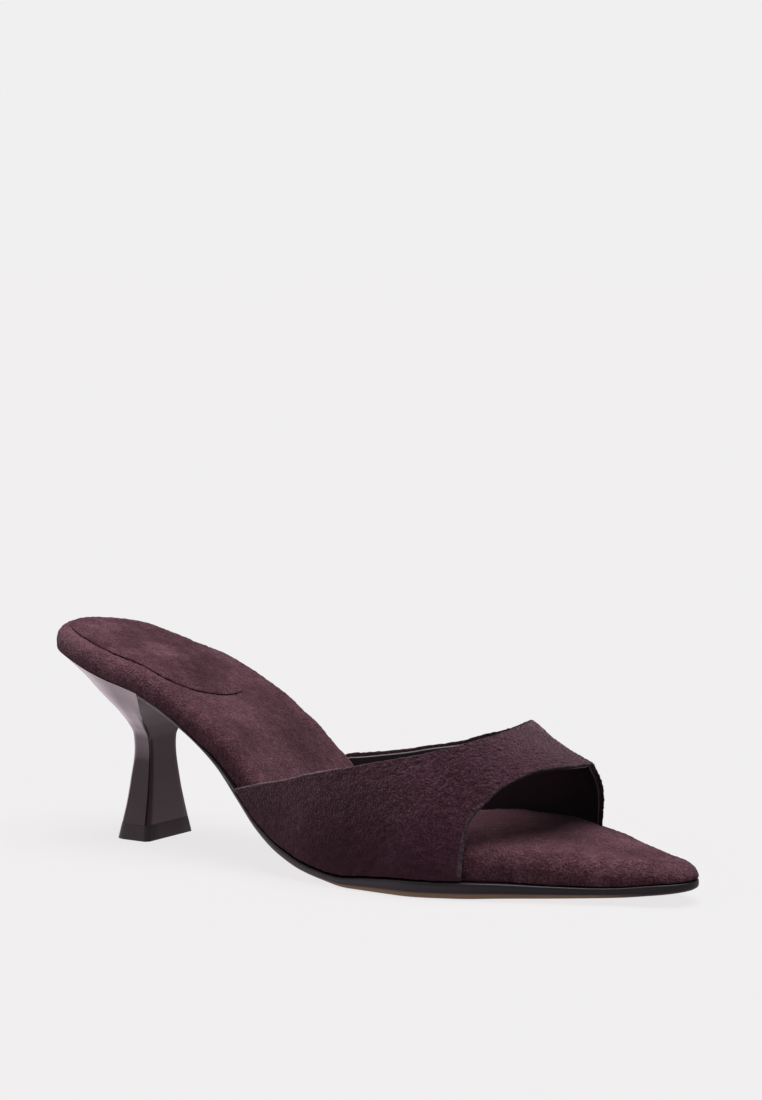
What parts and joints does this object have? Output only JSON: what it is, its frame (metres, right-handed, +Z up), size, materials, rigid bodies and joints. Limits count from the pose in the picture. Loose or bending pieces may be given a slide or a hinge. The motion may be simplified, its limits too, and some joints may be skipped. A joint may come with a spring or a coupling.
{
  "type": "heeled mule",
  "caption": "Backless open-toed mule for a right foot: pointed padded footbed, a suede band over the forefoot, thin outsole and a waisted, flared mid-height heel.",
  "frame": {"origin": "on the floor, under the middle of the tread at the ball of the foot", "axes": "+X from the heel to the toe, +Z up, -Y the outer side of the right foot"},
  "size_m": [0.235, 0.0775, 0.0694],
  "materials": {
    "suede": "short-napped suede, matt",
    "pad_suede": "short-napped suede, matt, a little paler",
    "edge": "painted edge, satin",
    "lacquer": "glossy lacquer, near black",
    "lift": "smooth, satin"
  },
  "bodies": {
    "root": {"outsole": "edge", "footbed": "suede", "heel_pad": "pad_suede", "upper": "suede", "heel": "lacquer", "heel_tip": "lift"}
  },
  "joints": []
}
